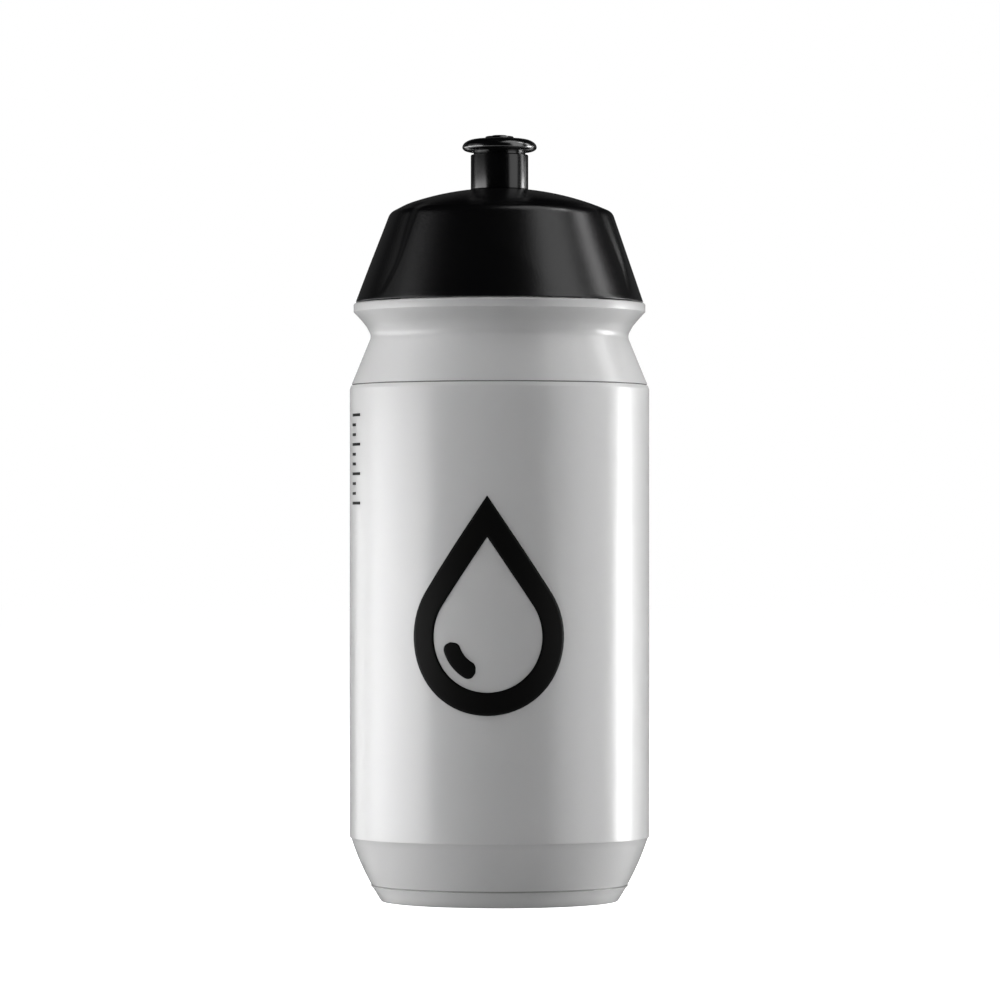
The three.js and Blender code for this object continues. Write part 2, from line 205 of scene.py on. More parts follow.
def ridgeTree():
    # A helical ridge: the piece's own wire is its section, and it fades in and out at the two ends.
    tree, given = newTree("thread ridge", {"Radius": "Float", "Pitch": "Float", "Turns": "Float",
                                           "Low": "Float", "Fade": "Float", "Material": "Material"})
    height = addNode(tree, "ShaderNodeMath", {0: given["Pitch"], 1: given["Turns"]}, operation="MULTIPLY")
    helix = addNode(tree, "GeometryNodeCurveSpiral",
                    {"Resolution": 96, "Rotations": given["Turns"], "Start Radius": given["Radius"],
                     "End Radius": given["Radius"], "Height": height.outputs[0], "Reverse": True})
    upright = addNode(tree, "GeometryNodeSetCurveNormal", {"Curve": helix.outputs[0]}, mode="Z_UP")
    along = addNode(tree, "GeometryNodeSplineParameter").outputs["Factor"]
    fromEnd = addNode(tree, "ShaderNodeMath", {0: 1.0, 1: along}, operation="SUBTRACT")
    nearest = addNode(tree, "ShaderNodeMath", {0: along, 1: fromEnd.outputs[0]}, operation="MINIMUM")
    grown = addNode(tree, "ShaderNodeMapRange",
                    {"Value": nearest.outputs[0], "From Max": given["Fade"], "To Min": 0.25, "To Max": 1.0})
    section = addNode(tree, "GeometryNodeMeshToCurve", {"Mesh": given["Geometry"]})
    swept = addNode(tree, "GeometryNodeCurveToMesh",
                    {"Curve": upright.outputs[0], "Profile Curve": section.outputs[0],
                     "Scale": grown.outputs[0], "Fill Caps": True})
    lift = addNode(tree, "ShaderNodeCombineXYZ", {"Z": given["Low"]})
    placed = addNode(tree, "GeometryNodeTransform",
                     {"Geometry": swept.outputs[0], "Translation": lift.outputs[0]})
    welded = addNode(tree, "GeometryNodeMergeByDistance", {"Geometry": placed.outputs[0], "Distance": 2e-6})
    finishTree(tree, welded.outputs[0], given["Material"])
    return tree


def ringOfTree():
    # Copies of one piece, evenly spaced about Z.
    tree, given = newTree("ring of copies", {"Copies": "Int", "Material": "Material"})
    spots = addNode(tree, "GeometryNodeMeshLine", {"Count": given["Copies"], "Offset": (0, 0, 0)})
    index = addNode(tree, "GeometryNodeInputIndex").outputs[0]
    place = addNode(tree, "ShaderNodeMath", {0: index, 1: 0.5}, operation="ADD")
    share = addNode(tree, "ShaderNodeMath", {0: place.outputs[0], 1: given["Copies"]}, operation="DIVIDE")
    angle = addNode(tree, "ShaderNodeMath", {0: share.outputs[0], 1: math.tau}, operation="MULTIPLY")
    turn = addNode(tree, "ShaderNodeCombineXYZ", {"Z": angle.outputs[0]})
    copies = addNode(tree, "GeometryNodeInstanceOnPoints",
                     {"Points": spots.outputs[0], "Instance": given["Geometry"],
                      "Rotation": turn.outputs[0]})
    finishTree(tree, copies.outputs[0], given["Material"])
    return tree


def gripTree():
    # The lid's swept hollows. Every point turns with its height, so that the columns of the mesh run
    # along the leaning ridges. Then the skin sinks towards the axis, most just before the next ridge.
    growthPower = 0.6  # under 1, so that the depth comes on quickly above the plain band
    stepFrom = 0.3  # the step at a ridge widens from this share of the height
    # the skin moves in full to the first of these depths, in walls, and not at all past the second
    movingWalls, stillWalls = 1.1, 1.9
    domeFade = 5.2 * mm  # how far in from its edge the dome still moves
    domeFrom, domeFull = 0.93, 0.99  # between these shares of the height the dome's fade takes over
    tree, given = newTree("swept hollows", {
        "Foot Height": "Float", "Corner Height": "Float", "Plain Band": "Float",
        "Foot Radius": "Float", "Corner Radius": "Float", "Wall": "Float", "Hollows": "Int",
        "First Ridge": "Float", "Lean": "Float", "Depth": "Float", "Foot Run": "Float", "Top Run": "Float",
        "Foot Step": "Float", "Top Step": "Float"})
    place = addNode(tree, "GeometryNodeInputPosition").outputs[0]
    parts = addNode(tree, "ShaderNodeSeparateXYZ", {0: place}).outputs
    up = addNode(tree, "ShaderNodeMapRange", {"Value": parts["Z"], "From Min": given["Foot Height"],
                                              "From Max": given["Corner Height"]}).outputs[0]
    lean = addNode(tree, "ShaderNodeMath", {0: up, 1: given["Lean"]}, operation="MULTIPLY").outputs[0]
    leant = addNode(tree, "ShaderNodeVectorRotate", {"Vector": place, "Angle": lean}, rotation_type="Z_AXIS")
    twisted = addNode(tree, "GeometryNodeSetPosition",
                      {"Geometry": given["Geometry"], "Position": leant.outputs[0]}).outputs[0]

    # how far round from the last ridge this point is
    bearing = addNode(tree, "ShaderNodeMath", {0: parts["Y"], 1: parts["X"]}, operation="ARCTAN2").outputs[0]
    foot = addNode(tree, "ShaderNodeMath", {0: given["First Ridge"], 1: lean}, operation="ADD").outputs[0]
    around = addNode(tree, "ShaderNodeMath", {0: bearing, 1: foot}, operation="SUBTRACT").outputs[0]
    span = addNode(tree, "ShaderNodeMath", {0: math.tau, 1: given["Hollows"]}, operation="DIVIDE").outputs[0]
    phase = addNode(tree, "ShaderNodeMath", {0: around, 1: span}, operation="FLOORED_MODULO").outputs[0]
    run = addNode(tree, "ShaderNodeMapRange", {"Value": up, "To Min": given["Foot Run"],
                                               "To Max": given["Top Run"]}).outputs[0]
    step = addNode(tree, "ShaderNodeMapRange",
                   {"Value": up, "From Min": stepFrom, "To Min": given["Foot Step"],
                    "To Max": given["Top Step"]}, interpolation_type="SMOOTHSTEP").outputs[0]
    deepest = addNode(tree, "ShaderNodeMath", {0: span, 1: step}, operation="SUBTRACT").outputs[0]
    start = addNode(tree, "ShaderNodeMath", {0: deepest, 1: run}, operation="SUBTRACT").outputs[0]
    sink = addNode(tree, "ShaderNodeMapRange",
                   {"Value": phase, "From Min": start, "From Max": deepest}).outputs[0]
    back = addNode(tree, "ShaderNodeMapRange", {"Value": phase, "From Min": deepest, "From Max": span,
                                                "To Min": 1.0, "To Max": 0.0},
                   interpolation_type="SMOOTHSTEP").outputs[0]
    hollow = addNode(tree, "ShaderNodeMath", {0: sink, 1: back}, operation="MULTIPLY").outputs[0]

    # the depth comes on above the plain band
    low = addNode(tree, "ShaderNodeMath", {0: given["Foot Height"], 1: given["Plain Band"]},
                  operation="ADD").outputs[0]
    rise = addNode(tree, "ShaderNodeMapRange", {"Value": parts["Z"], "From Min": low,
                                                "From Max": given["Corner Height"]}).outputs[0]
    growth = addNode(tree, "ShaderNodeMath", {0: rise, 1: growthPower}, operation="POWER").outputs[0]
    depth = addNode(tree, "ShaderNodeMath", {0: growth, 1: given["Depth"]}, operation="MULTIPLY").outputs[0]

    # only the skin moves: the skirt's two sides, and the dome's edge fading inwards
    coneHere = addNode(tree, "ShaderNodeMapRange",
                       {"Value": parts["Z"], "From Min": given["Foot Height"],
                        "From Max": given["Corner Height"], "To Min": given["Foot Radius"],
                        "To Max": given["Corner Radius"]}, clamp=False).outputs[0]
    flat = addNode(tree, "ShaderNodeCombineXYZ", {"X": parts["X"], "Y": parts["Y"]}).outputs[0]
    radius = addNode(tree, "ShaderNodeVectorMath", {0: flat}, operation="LENGTH").outputs["Value"]
    below = addNode(tree, "ShaderNodeMath", {0: coneHere, 1: radius}, operation="SUBTRACT").outputs[0]
    skinIn = addNode(tree, "ShaderNodeMath", {0: given["Wall"], 1: stillWalls},
                     operation="MULTIPLY").outputs[0]
    skinOut = addNode(tree, "ShaderNodeMath", {0: given["Wall"], 1: movingWalls},
                      operation="MULTIPLY").outputs[0]
    skirtShare = addNode(tree, "ShaderNodeMapRange",
                         {"Value": below, "From Min": skinOut, "From Max": skinIn,
                          "To Min": 1.0, "To Max": 0.0}).outputs[0]
    domeShare = addNode(tree, "ShaderNodeMapRange",
                        {"Value": below, "From Min": 0.0, "From Max": domeFade,
                         "To Min": 1.0, "To Max": 0.0},
                        interpolation_type="SMOOTHSTEP").outputs[0]
    nearTop = addNode(tree, "ShaderNodeMapRange",
                      {"Value": up, "From Min": domeFrom, "From Max": domeFull}).outputs[0]
    share = addNode(tree, "ShaderNodeMix", {0: nearTop, 2: skirtShare, 3: domeShare}).outputs[0]

    amount = addNode(tree, "ShaderNodeMath", {0: hollow, 1: depth}, operation="MULTIPLY").outputs[0]
    amount = addNode(tree, "ShaderNodeMath", {0: amount, 1: share}, operation="MULTIPLY").outputs[0]
    amount = addNode(tree, "ShaderNodeMath", {0: amount, 1: -1.0}, operation="MULTIPLY").outputs[0]
    outward = addNode(tree, "ShaderNodeVectorMath", {0: flat}, operation="NORMALIZE").outputs[0]
    move = addNode(tree, "ShaderNodeVectorMath", {0: outward, "Scale": amount}, operation="SCALE").outputs[0]
    sunk = addNode(tree, "GeometryNodeSetPosition", {"Geometry": twisted, "Offset": move}).outputs[0]
    addNode(tree, "NodeGroupOutput", {"Geometry": sunk})
    return tree


def wrapTree():
    # Bends a flat design onto the panel: X runs round the bottle, Y out from its skin, and Z up.
    tree, given = newTree("wrapped on the panel", {"Radius": "Float", "Bearing": "Float",
                                                   "Material": "Material"})
    place = addNode(tree, "GeometryNodeInputPosition").outputs[0]
    parts = addNode(tree, "ShaderNodeSeparateXYZ", {0: place}).outputs
    arc = addNode(tree, "ShaderNodeMath", {0: parts["X"], 1: given["Radius"]}, operation="DIVIDE").outputs[0]
    angle = addNode(tree, "ShaderNodeMath", {0: arc, 1: given["Bearing"]}, operation="ADD").outputs[0]
    radius = addNode(tree, "ShaderNodeMath", {0: parts["Y"], 1: given["Radius"]}, operation="ADD").outputs[0]
    spoke = addNode(tree, "ShaderNodeCombineXYZ", {"X": radius, "Z": parts["Z"]}).outputs[0]
    spun = addNode(tree, "ShaderNodeVectorRotate", {"Vector": spoke, "Angle": angle}, rotation_type="Z_AXIS")
    bent = addNode(tree, "GeometryNodeSetPosition",
                   {"Geometry": given["Geometry"], "Position": spun.outputs[0]})
    finishTree(tree, bent.outputs[0], given["Material"])
    return tree


def tickTree():
    # A column of short marks, where every so many is a long one.
    tree, given = newTree("graduation", {"Count": "Int", "Spacing": "Float", "Long Every": "Int",
                                         "Long Scale": "Float", "Material": "Material"})
    step = addNode(tree, "ShaderNodeCombineXYZ", {"Z": given["Spacing"]})
    spots = addNode(tree, "GeometryNodeMeshLine", {"Count": given["Count"], "Offset": step.outputs[0]})
    index = addNode(tree, "GeometryNodeInputIndex").outputs[0]
    left = addNode(tree, "FunctionNodeIntegerMath", {0: index, 1: given["Long Every"]}, operation="MODULO")
    isLong = addNode(tree, "FunctionNodeCompare", {2: left.outputs[0], 3: 0},
                     data_type="INT", operation="EQUAL")
    width = addNode(tree, "GeometryNodeSwitch", {0: isLong.outputs[0], 1: 1.0, 2: given["Long Scale"]},
                    input_type="FLOAT")
    scale = addNode(tree, "ShaderNodeCombineXYZ", {"X": width.outputs[0], "Y": 1.0, "Z": 1.0})
    marks = addNode(tree, "GeometryNodeInstanceOnPoints",
                    {"Points": spots.outputs[0], "Instance": given["Geometry"], "Scale": scale.outputs[0]})
    finishTree(tree, marks.outputs[0], given["Material"])
    return tree


turnedOutline = turnedTree()
threadRidge = ridgeTree()
ringOfCopies = ringOfTree()
sweptHollows = gripTree()
wrappedOnPanel = wrapTree()
graduation = tickTree()
print("geometry node trees ready")


cameraSizes = {"distance": 1310, "height": 88, "aside": 0.12, "lens": 191, "sensor": 36,
               "horizonShift": 0.044}
lampAim = 110  # every lamp faces the axis at this height
lightSizes = [
    # name, bearing from the camera (right is positive), distance, height of the middle, width, tall, power
    ("rightStrip", 108, 900, 0, 270, 400, 4.4),
    ("rightUpper", 104, 900, 480, 210, 560, 1.3),
    ("rightTop", 95, 760, 980, 170, 280, 0.9),
    ("rightPanel", 59, 900, 330, 620, 1100, 3.6),
    ("rightBack", 120, 1000, 50, 500, 500, 1.0),
    ("leftBox", -84, 1000, 0, 1150, 345, 6.7),
    ("leftLow", -90, 1000, 250, 1150, 155, 0.32),
    ("leftPanel", -90, 1000, 570, 1150, 480, 0.35),
    ("leftHigh", -80, 1000, 610, 420, 90, 0.25),
    ("leftBack", -128, 1000, -15, 480, 310, 1.0),
    ("topBox", 75, 420, 950, 600, 600, 1.6),
    ("backPanel", 180, 1300, 450, 2200, 700, 0.25),
    ("floorGlow", 0, 10, -500, 3000, 3000, 22),
    ("floorFill", 0, 10, -500, 1600, 1600, 3.4),
    ("leftFill", -84, 1100, 500, 900, 800, 8.6),
    ("rightFill", 100, 1100, 400, 900, 800, 3.6),
    ("frontFill", -10, 1200, 500, 800, 800, 2.0),
]


def makeCamera():
    data = bpy.data.cameras.new("camera")
    data.lens = cameraSizes["lens"]
    data.sensor_width = cameraSizes["sensor"]
    data.shift_y = cameraSizes["horizonShift"]
    data.clip_end = 50
    camera = bpy.data.objects.new("camera", data)
    camera.location = (cameraSizes["aside"] * mm, -cameraSizes["distance"] * mm,
                       cameraSizes["height"] * mm)
    camera.rotation_euler = (math.pi / 2, 0, 0)
    scene.collection.objects.link(camera)
    scene.camera = camera


def makeLights():
    target = Vector((0, 0, lampAim * mm))
    for name, bearing, distance, middle, width, tall, power in lightSizes:
        data = bpy.data.lights.new(name, "AREA")
        data.shape = "RECTANGLE"
        data.size = width * mm
        data.size_y = tall * mm
        data.energy = power
        lamp = bpy.data.objects.new(name, data)
        angle = math.radians(bearing)
        lamp.location = (math.sin(angle) * distance * mm, -math.cos(angle) * distance * mm, middle * mm)
        lamp.rotation_euler = (target - lamp.location).to_track_quat("-Z", "Y").to_euler()
        lamp.visible_camera = False
        lamp.visible_glossy = not name.endswith("Fill")
        lamp.visible_diffuse = not name.endswith("Glow")
        scene.collection.objects.link(lamp)


def makeSurroundings():
    world = bpy.data.worlds.new("white studio")
    scene.world = world
    world.use_nodes = True
    background = world.node_tree.nodes["Background"]
    background.inputs["Color"].default_value = (1, 1, 1, 1)
    background.inputs["Strength"].default_value = 1.0
    world.cycles_visibility.diffuse = False
    world.cycles_visibility.glossy = False
    world.cycles_visibility.transmission = False
    material, tree, surface = newMaterial("pale studio floor", "#f4f4f4", Roughness=0.9)
    surface.inputs["Emission Color"].default_value = (1, 1, 1, 1)
    surface.inputs["Emission Strength"].default_value = 1.0
    floor = newPiece("studioFloor", [(-6, -6, 0), (6, -6, 0), (6, 6, 0), (-6, 6, 0)], faces=[(0, 1, 2, 3)])
    floor.data.materials.append(material)
    floor.visible_diffuse = False
    floor.visible_glossy = False
    floor.visible_transmission = False
    floor.visible_shadow = False


makeCamera()
makeLights()
makeSurroundings()
scene.view_settings.view_transform = "Standard"
print("camera, floor and light ready")


def milkyPolyethylene(grooveHeight, heelHeight):
    # Low-density polyethylene, blow-moulded: it lets light soak through and blurs what is behind it,
    # and its satin skin spreads a window's reflection into a soft band.
    material, tree, surface = newMaterial("blow-moulded milky polyethylene", "#f5f5f5", Roughness=0.26,
                                          IOR=1.51)
    surface.inputs["Transmission Weight"].default_value = 0.38
    surface.inputs["Subsurface Weight"].default_value = 1.0
    surface.inputs["Subsurface Radius"].default_value = (1.0, 1.0, 1.0)
    surface.inputs["Subsurface Scale"].default_value = 0.004
    place = addNode(tree, "ShaderNodeTexCoord").outputs["Object"]
    # the skin is never quite even: slow waves a couple of centimetres long, drawn out up the bottle
    drawn = addNode(tree, "ShaderNodeMapping", {"Vector": place, "Scale": (1.0, 1.0, 0.25)})
    waves = addNode(tree, "ShaderNodeTexNoise", {"Vector": drawn.outputs[0], "Scale": 55.0, "Detail": 2.0})
    # and the mould's blasted finish, about 0.4 mm across
    grain = addNode(tree, "ShaderNodeTexNoise", {"Vector": place, "Scale": 2500.0, "Detail": 2.0})
    waveBump = addNode(tree, "ShaderNodeBump", {"Height": waves.outputs["Fac"], "Strength": 0.35,
                                                "Distance": 0.0006})
    bump = addNode(tree, "ShaderNodeBump", {"Height": grain.outputs["Fac"], "Strength": 0.12,
                                            "Distance": 0.0001, "Normal": waveBump.outputs[0]})
    # the gloss changes little from place to place, so the soft bands of light keep even edges
    rough = addNode(tree, "ShaderNodeMapRange",
                    {"Value": waves.outputs["Fac"], "To Min": 0.245, "To Max": 0.273})
    # painted shade: the base colour turns to a thin dark line in the groove above the panel and, more
    # faintly, in the one round the heel, so that these creases read dark
    height = addNode(tree, "ShaderNodeSeparateXYZ", {0: place}).outputs["Z"]
    colour = hexColour("#f5f5f5")
    # each pair is a groove's height and half width with its painted shade colour
    for middle, halfWidth, paintedShade in ((grooveHeight, 0.13, "#7c7c7a"), (heelHeight, 0.2, "#a3a3a1")):
        groove = addNode(tree, "ShaderNodeMath", {0: height, 1: middle * mm, 2: halfWidth * mm},
                         operation="COMPARE")
        mixed = addNode(tree, "ShaderNodeMix", {0: groove.outputs[0], 6: colour, 7: hexColour(paintedShade)},
                        data_type="RGBA")
        colour = mixed.outputs[2]
    tree.links.new(colour, surface.inputs["Base Color"])
    tree.links.new(rough.outputs[0], surface.inputs["Roughness"])
    tree.links.new(bump.outputs[0], surface.inputs["Normal"])
    return material


def lidPolypropylene():
    # Black polypropylene from a spark-eroded mould: satin, with a fine grain that breaks up highlights.
    material, tree, surface = newMaterial("spark-grained black polypropylene", "#070708", Roughness=0.25,
                                          IOR=1.49)
    place = addNode(tree, "ShaderNodeTexCoord").outputs["Object"]
    # grain about 0.5 mm across, drawn coarser than the real one so that it shows
    grain = addNode(tree, "ShaderNodeTexNoise", {"Vector": place, "Scale": 2000.0, "Detail": 3.0})
    cloud = addNode(tree, "ShaderNodeTexNoise", {"Vector": place, "Scale": 90.0, "Detail": 3.0})
    bump = addNode(tree, "ShaderNodeBump", {"Height": grain.outputs["Fac"], "Strength": 0.38,
                                            "Distance": 0.0001})
    rough = addNode(tree, "ShaderNodeMapRange",
                    {"Value": cloud.outputs["Fac"], "To Min": 0.23, "To Max": 0.273})
    tree.links.new(rough.outputs[0], surface.inputs["Roughness"])
    tree.links.new(bump.outputs[0], surface.inputs["Normal"])
    return material


def polishedPolypropylene():
    # The sliding sleeve comes from a polished mould: glossy, with faint drawing lines.
    material, tree, surface = newMaterial("polished black polypropylene", "#060607", Roughness=0.2, IOR=1.49)
    place = addNode(tree, "ShaderNodeTexCoord").outputs["Object"]
    drawn = addNode(tree, "ShaderNodeMapping", {"Vector": place, "Scale": (1.0, 1.0, 0.06)})
    lines = addNode(tree, "ShaderNodeTexNoise", {"Vector": drawn.outputs[0], "Scale": 900.0, "Detail": 2.0})
    rough = addNode(tree, "ShaderNodeMapRange",
                    {"Value": lines.outputs["Fac"], "To Min": 0.17, "To Max": 0.23})
    tree.links.new(rough.outputs[0], surface.inputs["Roughness"])
    return material


def softElastomer():
    # Thermoplastic elastomer, moulded smooth: a deep black under a thin, shiny film of the rubber's own oil.
    material, tree, surface = newMaterial("moulded black elastomer", "#080809", Roughness=0.2, IOR=1.5)
    place = addNode(tree, "ShaderNodeTexCoord").outputs["Object"]
    surface.inputs["Coat Weight"].default_value = 1.0
    surface.inputs["Coat Roughness"].default_value = 0.17
    surface.inputs["Coat IOR"].default_value = 1.6
    handled = addNode(tree, "ShaderNodeTexNoise", {"Vector": place, "Scale": 420.0, "Detail": 3.0})
    rough = addNode(tree, "ShaderNodeMapRange",
                    {"Value": handled.outputs["Fac"], "To Min": 0.16, "To Max": 0.26})
    bump = addNode(tree, "ShaderNodeBump", {"Height": handled.outputs["Fac"], "Strength": 0.08,
                                            "Distance": 0.0001})
    tree.links.new(rough.outputs[0], surface.inputs["Roughness"])
    tree.links.new(bump.outputs[0], surface.inputs["Normal"])
    return material


def sealSilicone():
    # Grey silicone, moulded matte: it picks up a fine dusty bloom.
    material, tree, surface = newMaterial("moulded grey silicone", "#8d8f92", Roughness=0.6, IOR=1.43)
    place = addNode(tree, "ShaderNodeTexCoord").outputs["Object"]
    bloom = addNode(tree, "ShaderNodeTexNoise", {"Vector": place, "Scale": 600.0, "Detail": 4.0})
    rough = addNode(tree, "ShaderNodeMapRange",
                    {"Value": bloom.outputs["Fac"], "To Min": 0.5, "To Max": 0.72})
    tree.links.new(rough.outputs[0], surface.inputs["Roughness"])
    return material


def screenInk():
    # Solvent screen ink: flat black, a little glossier than the skin, with the mesh's faint texture.
    material, tree, surface = newMaterial("screen-printed black ink", "#050505", Roughness=0.5, IOR=1.5)
    surface.inputs["Specular IOR Level"].default_value = 0.1
    place = addNode(tree, "ShaderNodeTexCoord").outputs["Object"]
    weave = addNode(tree, "ShaderNodeTexNoise", {"Vector": place, "Scale": 3000.0, "Detail": 2.0})
    bump = addNode(tree, "ShaderNodeBump", {"Height": weave.outputs["Fac"], "Strength": 0.15,
                                            "Distance": 0.00005})
    rough = addNode(tree, "ShaderNodeMapRange",
                    {"Value": weave.outputs["Fac"], "To Min": 0.42, "To Max": 0.58})
    tree.links.new(rough.outputs[0], surface.inputs["Roughness"])
    tree.links.new(bump.outputs[0], surface.inputs["Normal"])
    return material


lidPlastic = lidPolypropylene()
sleevePlastic = polishedPolypropylene()
mouthRubber = softElastomer()
sealRubber = sealSilicone()
ink = screenInk()
print("materials ready")


bottleSizes = {
    "inkDepth": 0.05,  # the panel stays this far inside the frame's box, so that the ink fits in it
    "wall": 1.2,
    "pushUp": 4.2, "pushUpRadius": 21, "dimpleRadius": 9, "footInner": 26.2, "footOuter": 29.2,
    "heelRadius": 29.6, "heelHeight": 0.6,
    "beadHeight": 4.0, "beadDepth": 0.16,  # the fine line round the heel
    "taperHeight": 14.8, "taperBulge": 0.55, "panelProud": 0.4, "panelHeight": 111.2,
    "edgeDepth": 0.3, "edgeHeight": 0.9,  # the panel's upper edge is slightly rounded off
    "grooveDepth": 0.75, "grooveHeight": 0.4,
    "shoulderHeight": 12.3, "waistRadius": 31.6, "waistFillet": 2.2,
    "flareHeight": 5.9, "flarePower": 1.35, "collarRadius": 36, "collarHeight": 2.1,
    "bore": 22.8, "finishWall": 1.6,
    "sides": 224,
}
threadSizes = {"pitch": 6, "turns": 1.5, "depth": 1.3, "root": 2.6, "crest": 1.2, "start": 5.4,
               "sink": 0.5, "fade": 24, "flankGap": 0.35, "rootGap": 0.4}

panelRadius = cadBox[1][0] / mm - bottleSizes["inkDepth"]
panelLow = bottleSizes["heelHeight"] + bottleSizes["taperHeight"] + bottleSizes["panelProud"]
panelHigh = panelLow + bottleSizes["panelHeight"]
waistHeight = panelHigh + bottleSizes["shoulderHeight"]
shoulderSlope = (panelRadius - bottleSizes["waistRadius"]) / bottleSizes["shoulderHeight"]
bottlePlastic = milkyPolyethylene(panelHigh + bottleSizes["grooveHeight"] / 2, bottleSizes["beadHeight"])
collarLow = waistHeight + bottleSizes["flareHeight"]
collarTop = collarLow + bottleSizes["collarHeight"]
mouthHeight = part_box("bottle_shell")[1].z / mm
finishRadius = bottleSizes["bore"] + bottleSizes["finishWall"]


def bottleSkin(depth, line):  # the bottle's side from foot to collar, that far inside its outside
    b = bottleSizes
    taperTop = panelRadius - b["panelProud"]
    side = [(b["heelRadius"] - depth, b["heelHeight"] + depth * 0.4, 0.5)]
    steps, lineStep = 12, 3
    for i in range(1, steps + 1):
        s = i / steps
        r = b["heelRadius"] + (taperTop - b["heelRadius"]) * s + b["taperBulge"] * 4 * s * (1 - s)
        z = b["heelHeight"] + b["taperHeight"] * s
        if line and i == lineStep:
            side.append((r - depth, b["beadHeight"] - 0.2, 0.1))
            side.append((r - b["beadDepth"] - depth, b["beadHeight"], 0.1))
        side.append((r - depth, z + depth * 0.3, 0))
    side.append((panelRadius - depth, panelLow + depth * 0.2, 0.12))
    side.append((panelRadius - depth, panelHigh - b["edgeHeight"] - depth * 0.2, 0.5))
    side.append((panelRadius - b["edgeDepth"] - depth, panelHigh - depth * 0.2, 0.1))
    if line:
        side.append((panelRadius - b["grooveDepth"], panelHigh + b["grooveHeight"] / 2, 0.05))
        side.append((panelRadius - b["edgeDepth"] - b["grooveHeight"] * shoulderSlope,
                     panelHigh + b["grooveHeight"], 0.1))
    side.append((b["waistRadius"] - depth, waistHeight, b["waistFillet"]))
    flareSteps = 8
    for i in range(3, flareSteps + 1):  # the waist's fillet takes up the first two
        s = i / flareSteps
        r = b["waistRadius"] + (b["collarRadius"] - b["waistRadius"]) * s ** b["flarePower"]
        side.append((r - depth, waistHeight + b["flareHeight"] * s + depth * 0.45 * s, 0))
    return side


def makeBottle():
    b = bottleSizes
    wall = b["wall"]
    outside = [(0, b["pushUp"], 0), (b["dimpleRadius"], b["pushUp"], 0.6),
               (b["dimpleRadius"] + 0.5, b["pushUp"] - 0.4, 0.6),
               (b["pushUpRadius"], b["pushUp"] - 0.6, 3.0), (b["footInner"], 0, 1.6),
               (b["footOuter"], 0, 0.3)]
    outside += bottleSkin(0, True)
    outside += [(b["collarRadius"], collarTop, 0.45), (finishRadius, collarTop, 0.7),
                (finishRadius, mouthHeight, 0.4)]
    inside = [(0, b["pushUp"] + wall, 0), (b["pushUpRadius"] + 0.8, b["pushUp"] + wall - 0.6, 2.4),
              (b["footInner"] + 0.6, wall, 1.2), (b["footOuter"] - 0.9, wall, 0.8)]
    inside += bottleSkin(wall, False)
    inside += [(b["collarRadius"] - wall, collarTop - wall, 0.5), (b["bore"], collarTop - wall, 1.0),
               (b["bore"], mouthHeight, 0.4)]
    shell = outlineWire("bottleMoulding", rounded(outside + inside[::-1]))
    grow(shell, turnedOutline, Sides=b["sides"], Material=bottlePlastic)
    ridge = makeRidge("bottleThread", finishRadius, 1, collarTop + threadSizes["start"], bottlePlastic)
    union = shell.modifiers.new("thread", "BOOLEAN")
    union.operation = "UNION"
    union.solver = "EXACT"
    union.object = ridge
    settle(shell)
    bpy.data.objects.remove(ridge)
    shell.data.set_sharp_from_angle(angle=math.radians(32))
    return shell


def makeRidge(name, radius, outward, low, material):  # a thread's ridge, rooted a little in its wall
    t = threadSizes
    flank = (t["root"] - t["crest"]) / 2 / t["depth"]
    halfRoot = t["crest"] / 2 + flank * (t["depth"] + t["sink"])
    root, crest = -t["sink"] * outward * mm, t["depth"] * outward * mm
    section = [(root, -halfRoot), (crest, -t["crest"] / 2), (crest, t["crest"] / 2), (root, halfRoot)]
    points = [(r, z * mm, 0) for r, z in section]
    ridge = newPiece(name, points, [(0, 1), (1, 2), (2, 3), (3, 0)])
    grow(ridge, threadRidge, Radius=radius * mm, Pitch=t["pitch"] * mm, Turns=t["turns"], Low=low * mm,
         Fade=t["fade"] / 360 / t["turns"], Material=material)
    faceOutwards(ridge)
    return ridge


def faceOutwards(piece):
    shape = bmesh.new()
    shape.from_mesh(piece.data)
    bmesh.ops.recalc_face_normals(shape, faces=shape.faces)
    shape.to_mesh(piece.data)
    shape.free()


bottle = makeBottle()
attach(bottle, "bottle")
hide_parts("bottle_shell")
print("bottle ready:", len(bottle.data.polygons), "faces")


lidSizes = {
    "wall": 1.5, "inset": 0.5, "plainBand": 0.9, "cornerFillet": 2.6,
    "domeRadius": 68, "domeWall": 1.9, "ringWall": 1.8, "ringRise": 1.6, "hollowGap": 1,
    "crownWall": 1.8, "crownHeight": 2.9, "plugWall": 1.1, "plugDepth": 4, "clearance": 0.3,
    "ribs": 12, "ribWidth": 1.1, "ribRise": 3.2, "ribRoot": 0.45, "sides": 240,
    "rowSpacing": 0.55, "stillRadius": 19,  # rows this close wherever the grip bends the skin
}
gripSizes = {"hollows": 3, "firstRidge": -52.5, "lean": 12, "depth": 1.4, "footRun": 32, "topRun": 94,
             "footStep": 5, "topStep": 14}
chimneySizes = {
    "radius": 5.15, "wall": 1.2, "top": 7.6, "beadHeight": 0.9, "beadReach": 0.6, "postRadius": 1.6,
    "spokes": 3, "spokeWidth": 1.2, "spokeHeight": 2.6, "plugRadius": 2.45, "plugHeight": 2,
    "postSides": 64,
}

